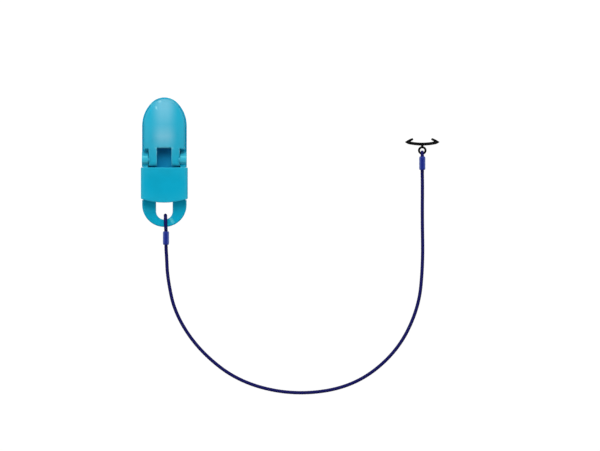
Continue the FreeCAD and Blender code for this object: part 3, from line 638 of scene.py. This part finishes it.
def leg_profile():
    """The leg's side view as points (y, z), from the shell over its back, round the cam and back under."""
    root_y, top = LEVER_REAR_MM + WALL_MM * 0.9, CROWN_MM - 0.02
    points = [(root_y, top), (LEVER_REAR_MM + 0.5, top), (LEVER_REAR_MM, top)]
    for n in range(1, 9):
        share = n / 8
        points.append((LEVER_REAR_MM + (CAM_Y_MM - LEVER_REAR_MM) * share,
                       top - LEG_FALL_MM * share ** LEG_FALL_POWER))
    for a in range(16, 272, 8):
        turn = math.radians(a)
        rise = CAM_MM - (CAM_FLAT_MM if a < 90 else 0.0)
        points.append((CAM_Y_MM - CAM_MM * math.sin(turn), CAM_Z_MM + rise * math.cos(turn)))
    points += [(LEVER_REAR_MM - 0.6, CAM_Z_MM - 0.9), (LEVER_REAR_MM, LEVER_LOW_MM + 0.6),
               (root_y, LEVER_LOW_MM + 0.6)]
    return points


def shrunk(points, amount):
    """A closed outline moved inwards by amount along the mean normal at each point."""
    moved, count = [], len(points)
    area = sum(points[n][0] * points[(n + 1) % count][1] - points[(n + 1) % count][0] * points[n][1]
               for n in range(count))
    turn = 1 if area > 0 else -1
    for n, point in enumerate(points):
        before, after = points[n - 1], points[(n + 1) % count]
        along = Vector((after[0] - before[0], after[1] - before[1])).normalized()
        moved.append((point[0] - along.y * amount * turn, point[1] + along.x * amount * turn))
    return moved


def swept(profile, stations, place):
    """Sweeps a closed profile through stations (x, inset), capping both ends."""
    corners = [place(x, first, second) for x, inset in stations
               for first, second in (shrunk(profile, inset) if inset else profile)]
    return corners, ring_faces(len(stations), len(profile))


def leg_place(x, y, z):
    arch = SIDE_DROP_MM * (x / LEVER_HALF_MM) ** 2
    share = min(max((z - CAM_Z_MM) / CAM_MM, 0.0), 1.0)
    return Vector((x, y, z - arch * share * share)) * MM


def shaft_place(x, y, z):
    return Vector((x, y, z)) * MM


def edge_stations(start, end, radius):
    """Stations from start to end whose insets round both edges."""
    turns = [math.radians(a) for a in (0, 22, 45, 67, 90)]
    sign = 1 if end > start else -1
    rise = [(radius * (1 - math.cos(a)), radius * (1 - math.sin(a))) for a in turns]
    ahead = [(start + sign * along, inset) for along, inset in rise]
    behind = [(end - sign * along, inset) for along, inset in reversed(rise)]
    flat = [(start + (end - start) * n / (FLAT_STATIONS + 1), 0.0) for n in range(1, FLAT_STATIONS + 1)]
    return ahead + flat + behind


wall = lever.modifiers.new("wall", "SOLIDIFY")
wall.thickness, wall.offset = WALL_MM * MM, -1.0
applied(lever)
work = bmesh.new()
work.from_mesh(lever.data)
shaft_circle = [(CAM_Y_MM + SHAFT_MM * math.cos(math.radians(a)),
                 SHAFT_Z_MM + SHAFT_MM * math.sin(math.radians(a))) for a in range(0, 360, 12)]
for side in (1, -1):
    across_leg = edge_stations(WINDOW_HALF_MM * side, LEG_OUTER_MM * side, LEG_EDGE_MM)
    along_shaft = edge_stations((LEG_OUTER_MM - SHAFT_ROOT_MM) * side, SHAFT_END_MM * side, SHAFT_EDGE_MM)
    for corners, faces in (swept(leg_profile(), across_leg, leg_place),
                           swept(shaft_circle, along_shaft, shaft_place)):
        made = mesh_piece("part", corners, faces)
        work.from_mesh(made.data)
        bpy.data.objects.remove(made)
for face in work.faces:
    face.smooth = True
work.to_mesh(lever.data)
work.free()
flat_facing(lever)
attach(lever, "lever")
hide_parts("lever")
print("lever", len(lever.data.vertices), "corners")

# %% [markdown]
# ## Finish of the lever: tinted, polished polypropylene
# The lever is the one piece with a polished mould face. Its plastic holds less pigment, so it is slightly
# milky and lets light through: its middle, over the hollow, glows paler than its solid sides. Transparency
# would need the light to be traced through the shell, so the glow is painted light instead: the body colour is
# paled by the distance from the spine, most at 10 mm along and again near the tip, as a painted glow and a
# painted highlight. The surface has a finer grain and more shine than the rest.

# %% Tinted polypropylene
# How far the painted glow reaches from the spine, and how strong it is along the lever's length.
SOLID_COLOUR_MM, PAINTED_GLOW_END_MM, PAINTED_GLOW_MIDDLE_MM = 5.6, 25.0, 1.0
PAINTED_GLOW_STOPS = ((0.0, 0.0), (0.2, 0.05), (0.4, 0.26), (0.58, 0.1), (0.85, 0.18))


def paled(material, share, pale):
    """Mixes a paler colour over a material's own by a share from 0 to 1, which nodes work out."""
    tree = material.node_tree
    shader = next(node for node in tree.nodes if node.type == "BSDF_PRINCIPLED")
    own = shader.inputs["Base Color"].links[0].from_socket
    mixed = add_node(tree, "ShaderNodeMixRGB", values={"Color2": linear(pale)},
                     links={"Fac": share, "Color1": own})
    tree.links.new(mixed.outputs["Color"], shader.inputs["Base Color"])


tinted = moulded("polished_polypropylene_painted_glow", "#0d9fbd", "#14a5c4", "#8fd8e6", 0.42, 0.55,
                 grain_depth_mm=0.002, Specular_IOR_Level=0.2)
tree = tinted.node_tree
place = add_node(tree, "ShaderNodeTexCoord")
split = add_node(tree, "ShaderNodeSeparateXYZ", links={"Vector": place.outputs["Object"]})
from_spine = add_node(tree, "ShaderNodeMath", {"operation": "ABSOLUTE"}, links={0: split.outputs["X"]})
glow = add_node(tree, "ShaderNodeMapRange", {"interpolation_type": "SMOOTHSTEP"},
                {"From Min": PAINTED_GLOW_MIDDLE_MM * MM, "From Max": SOLID_COLOUR_MM * MM,
                 "To Min": 1.0, "To Max": 0.0},
                {"Value": from_spine.outputs[0]})
along = add_node(tree, "ShaderNodeMapRange", values={"From Max": PAINTED_GLOW_END_MM * MM},
                 links={"Value": split.outputs["Y"]})
strength = add_node(tree, "ShaderNodeValToRGB", links={"Fac": along.outputs["Result"]})
for number, (where, amount) in enumerate(PAINTED_GLOW_STOPS):
    if number > 1:
        strength.color_ramp.elements.new(where)
    element = strength.color_ramp.elements[number]
    element.position, element.color = where, (amount, amount, amount, 1.0)
both = add_node(tree, "ShaderNodeMath", {"operation": "MULTIPLY"},
                links={0: glow.outputs["Result"], 1: strength.outputs["Color"]})
# The painted glow and highlight: a pale colour mixed over the body colour, strongest along the spine.
paled(tinted, both.outputs[0], "#c3e6f0")
dress(lever, tinted)
print("material", tinted.name, "milky over", 2 * SOLID_COLOUR_MM, "mm")

# %% [markdown]
# ## Sleeves
# Each cord loop is closed by a short piece of shrink tube over both strands. A cylinder would look like a
# bead, but shrunk tube follows what is in it: it is a little waisted between the two strands, pulls in at its
# mouths, and its wall is never quite even. So a waisted oval is swept along the sleeve and its size varies.

# %% Sleeve meshes
SLEEVE_MM, SLEEVE_RADIUS_MM = 5.2, 1.25
SLEEVES_MM = {"clip_end": (0.6, -29.3), "hook_end": (99.5, -0.4)}
SLEEVE_SIDES = 40
SLEEVE_WAIST, SLEEVE_UNEVENNESS = 0.03, 0.012


def sleeve_section(squeeze):
    """Waisted oval round the two strands, as points (x, z) from its middle."""
    half_gap = (HIGH_Z - LOW_Z) / 2
    points = []
    for n in range(SLEEVE_SIDES):
        angle = 2 * math.pi * n / SLEEVE_SIDES
        up = math.sin(angle)
        waist = 1 - SLEEVE_WAIST * math.exp(-(up * 3) ** 2)
        across = math.copysign(abs(math.cos(angle)) ** 0.92, math.cos(angle))
        points.append((SLEEVE_RADIUS_MM * squeeze * across * waist,
                       SLEEVE_RADIUS_MM * squeeze * up + half_gap * math.tanh(up * 4)))
    return points


def make_sleeve(name, centre_x, centre_y, phase):
    rounds = [(0.0, 0.72), (0.03, 0.8), (0.12, 0.89), (0.3, 0.95), (0.55, 0.985)]
    middle = [(0.9 + n * 0.34, 1.0 + SLEEVE_UNEVENNESS * math.sin(n * 1.3 + phase) - SLEEVE_UNEVENNESS)
              for n in range(11)]
    stations = rounds + middle + [(SLEEVE_MM - at, size) for at, size in reversed(rounds)]
    middle_z = (HIGH_Z + LOW_Z) / 2
    corners = [Vector((centre_x + x, centre_y - SLEEVE_MM / 2 + at, middle_z + z)) * MM
               for at, squeeze in stations for x, z in sleeve_section(squeeze)]
    sleeve = mesh_piece(name, corners, ring_faces(len(stations), SLEEVE_SIDES))
    off_strand = sleeve.data.attributes.new("off_strand", "FLOAT", "POINT")
    for corner, mark in zip(sleeve.data.vertices, off_strand.data):
        mark.value = abs(corner.co.x / MM - centre_x) / SLEEVE_RADIUS_MM
    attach(sleeve, "clip")
    return sleeve


sleeves = []
for number, (end, (x, y)) in enumerate(SLEEVES_MM.items()):
    sleeve = make_sleeve(end + "_shrink_tube", x, y, number * 2.0)
    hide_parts(end + "_sleeve")
    sleeves.append(sleeve)
print("sleeves", [sleeve.name for sleeve in sleeves])

# %% [markdown]
# ## Finish of the sleeves: polyolefin shrink tube
# Polyolefin tube has a soft satin shine and is slightly see-through, so the dark strands show under its
# middle, and its edges look paler. Tracing light through so small a tube gains little, so each point stores how
# far it is off the strands, and the colour pales with that.

# %% Polyolefin tube
polyolefin = moulded("blue_polyolefin_shrink_tube", "#13227c", "#182884", "#4a58a4", 0.4, 0.2,
                     grain_depth_mm=0.006, Specular_IOR_Level=0.12)
tree = polyolefin.node_tree
off_strand = add_node(tree, "ShaderNodeAttribute", {"attribute_name": "off_strand"})
clear = add_node(tree, "ShaderNodeMapRange", {"interpolation_type": "SMOOTHSTEP"},
                 {"From Min": 0.3, "From Max": 0.95, "To Min": 0.0, "To Max": 0.75},
                 {"Value": off_strand.outputs["Fac"]})
paled(polyolefin, clear.outputs["Result"], "#6478b8")
for sleeve in sleeves:
    dress(sleeve, polyolefin)
print("material", polyolefin.name, "on", len(sleeves), "sleeves")

# %% [markdown]
# ## Cross hook
# The hook is a single small moulding: a curved bar, a barb folded back from each tip, a short stem, and a
# ring that lies flat with the bar. The cord is looped through the ring. The hook could be cut from the
# measured outline and bevelled, but such a bar would have flat cheeks. Here the bar, barbs and stem are swept
# as round, tapering rods, the ring is swept in a circle, and a voxel remesh melts them into one skin, which
# gives the soft inside corners of a real moulding. The rods are a few hundredths of a millimetre stouter than
# the measured solid, so that they keep their weight when seen small. The hook is drawn flat, with its origin
# where the cord holds the ring, and is then laid down on its barbs.

# %% Hook mesh
EYE_MM = (99.5, 3.35, 1.8)
REST_TILT = math.radians(-11.5)
RING_MM, RING_BAR_MM, RING_THICK_MM = 1.68, 0.86, 0.8
BAR_Y_MM, BAR_SWEEP_MM, SPAN_MM, BAR_RADIUS_MM = 3.7, 0.9, 6.7, 0.59
EYE_MIDDLE_MM = 1.21
BARB_TIP_MM, BARB_RUN_MM, BARB_RISE_MM = (6.45, 4.33), 2.9, 1.44
GUSSET_TIP_MM, GUSSET_RUN_MM, GUSSET_RISE_MM = (5.95, 4.45), 1.2, 0.12
BAR_TAPER_SHARE, BAR_TAPER_MM = 0.2, 0.44
ROD_SIDES = 20
HOOK_VOXEL_MM = 0.07


def rod(points, radii):
    """A closed tapering rod through points in the flat plane, as corners and faces."""
    places = [Vector((x, y, 0.0)) for x, y in points]
    corners = []
    for n, place in enumerate(places):
        along = (places[min(n + 1, len(places) - 1)] - places[max(n - 1, 0)]).normalized()
        across = Vector((-along.y, along.x, 0.0))
        for k in range(ROD_SIDES):
            angle = 2 * math.pi * k / ROD_SIDES
            corners.append((place + across * radii[n] * math.cos(angle)
                            + Vector((0, 0, radii[n] * math.sin(angle)))) * MM)
    return corners, ring_faces(len(places), ROD_SIDES)


def hook_rods():
    """The bar, both barbs with the gusset in each crook, and the stem, each as points and radii."""
    count = 28
    bar, bar_radii = [], []
    for n in range(count + 1):
        share = -1 + 2 * n / count
        bar.append((share * SPAN_MM * 0.985, BAR_Y_MM + BAR_SWEEP_MM * share * share))
        past = max(abs(share) - (1 - BAR_TAPER_SHARE), 0.0) / BAR_TAPER_SHARE
        bar_radii.append(BAR_RADIUS_MM - BAR_TAPER_MM * past ** 1.3)
    parts = [(bar, bar_radii)]
    for side in (1, -1):
        barb = [((BARB_TIP_MM[0] - BARB_RUN_MM * t) * side, BARB_TIP_MM[1] + BARB_RISE_MM * t)
                for t in (0.0, 0.2, 0.4, 0.6, 0.8, 0.94, 1.0)]
        parts.append((barb, [0.2, 0.4, 0.48, 0.48, 0.46, 0.43, 0.34]))
        gusset = [((GUSSET_TIP_MM[0] - GUSSET_RUN_MM * t) * side, GUSSET_TIP_MM[1] + GUSSET_RISE_MM * t)
                  for t in (0.0, 0.5, 1.0)]
        parts.append((gusset, [0.34, 0.42, 0.3]))
    parts.append(([(0.0, 2.5), (0.0, 3.0), (0.0, 3.6)], [0.42, 0.46, 0.5]))
    return parts


def eye_ring():
    """The flat ring, its section an oval, with the origin in the middle of its lower arc."""
    around, across = 56, 16
    middle = RING_MM - RING_BAR_MM / 2
    corners = []
    for n in range(around):
        turn = 2 * math.pi * n / around
        for k in range(across):
            angle = 2 * math.pi * k / across
            radius = middle + RING_BAR_MM / 2 * math.cos(angle)
            corners.append(Vector((radius * math.cos(turn), EYE_MIDDLE_MM + radius * math.sin(turn),
                                   RING_THICK_MM / 2 * math.sin(angle))) * MM)
    faces = [(n * across + k, n * across + (k + 1) % across, (n + 1) % around * across + (k + 1) % across,
              (n + 1) % around * across + k) for n in range(around) for k in range(across)]
    return corners, faces


def make_hook():
    work = bmesh.new()
    for corners, faces in [rod(points, radii) for points, radii in hook_rods()] + [eye_ring()]:
        made = mesh_piece("part", corners, faces)
        work.from_mesh(made.data)
        bpy.data.objects.remove(made)
    mesh = bpy.data.meshes.new("hook")
    work.to_mesh(mesh)
    work.free()
    piece = bpy.data.objects.new("black_cross_hook", mesh)
    bpy.context.scene.collection.objects.link(piece)
    melt = piece.modifiers.new("melt", "REMESH")
    melt.mode, melt.voxel_size = "VOXEL", HOOK_VOXEL_MM * MM
    soften = piece.modifiers.new("soften", "SMOOTH")
    soften.factor, soften.iterations = 0.5, 4
    applied(piece)
    for face in piece.data.polygons:
        face.use_smooth = True
    piece.data.transform(Matrix.Translation(Vector(EYE_MM) * MM) @ Matrix.Rotation(REST_TILT, 4, "X"))
    return piece


hook = make_hook()
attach(hook, "hook")
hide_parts("cross_hook")
low_z = min(corner.co.z for corner in hook.data.vertices)
print(f"hook {len(hook.data.vertices)} corners, lowest {low_z * 1000:.2f} mm")

# %% [markdown]
# ## Finish of the hook: moulded nylon
# The hook is black nylon, hard and springy. Carbon black soaks up nearly all light, so only the satin shine
# along its round edges shows its shape.

# %% Black nylon
nylon = moulded("black_moulded_nylon", "#020203", "#040405", "#131316", 0.5, 0.2, grain_depth_mm=0.008,
                Specular_IOR_Level=0.08)
dress(hook, nylon)
print("material", nylon.name)

# %% [markdown]
# ## The cord's measures
# The cord's length, its thickness and the number of pieces on it are printed.

print(f"cord declared: {cord_length * 1000:.1f} mm long, {CORD_MM} mm thick, {len(sleeves) + 1} pieces on it")

# %% [markdown]
# ## Ground and light
# The clip lies on a sheet of opal acrylic that is lit from behind, as on a small light table: the ground
# stays white right up to the object and shows no shadow. The sheet is a plain plane that gives off its own
# light. It reflects next to nothing, because a ground brighter than white would eat into the edges of the
# thin cord. A large soft light stands beyond the jaws, about 47 degrees up, and a weak one fills from each
# side. Nothing bright hangs straight overhead, so the flat faces keep their deep colour.

# %% Ground
GROUND_M = 6.0
ground = mesh_piece("ground", [(x * GROUND_M, y * GROUND_M, 0.0) for x, y in
                               ((-1, -1), (1, -1), (1, 1), (-1, 1))], [(0, 1, 2, 3)], smooth=False)
acrylic, _, shader = new_material("opal_acrylic", Roughness=0.6, IOR=1.49, Emission_Strength=1.0)
shader.inputs["Base Color"].default_value = linear("#161616")
shader.inputs["Emission Color"].default_value = linear("#ffffff")
dress(ground, acrylic)
ground.visible_glossy = False
print("ground", 2 * GROUND_M, "m wide, material", acrylic.name)

# %% Light
LIGHT_AIM = Vector((0.05, -0.03, 0.0))
WORLD_STRENGTH = 0.28


def soft_light(name, place, size, watts):
    lamp = bpy.data.lights.new(name, "AREA")
    lamp.shape, lamp.size, lamp.energy = "SQUARE", size, watts
    holder = bpy.data.objects.new(name, lamp)
    bpy.context.scene.collection.objects.link(holder)
    holder.location = place
    holder.rotation_mode = "QUATERNION"
    holder.rotation_quaternion = (LIGHT_AIM - Vector(place)).to_track_quat("-Z", "Y")


soft_light("window_light", (-0.05, 0.92, 1.02), 0.9, 13.0)
soft_light("left_fill", (-1.0, 0.05, 0.8), 0.7, 4.9)
soft_light("right_fill", (1.1, 0.05, 0.8), 0.7, 4.3)
world = bpy.data.worlds.new("studio")
bpy.context.scene.world = world
world.use_nodes = True
background = world.node_tree.nodes["Background"]
background.inputs["Color"].default_value = linear("#ffffff")
background.inputs["Strength"].default_value = WORLD_STRENGTH
bpy.context.scene.view_settings.view_transform = "Standard"
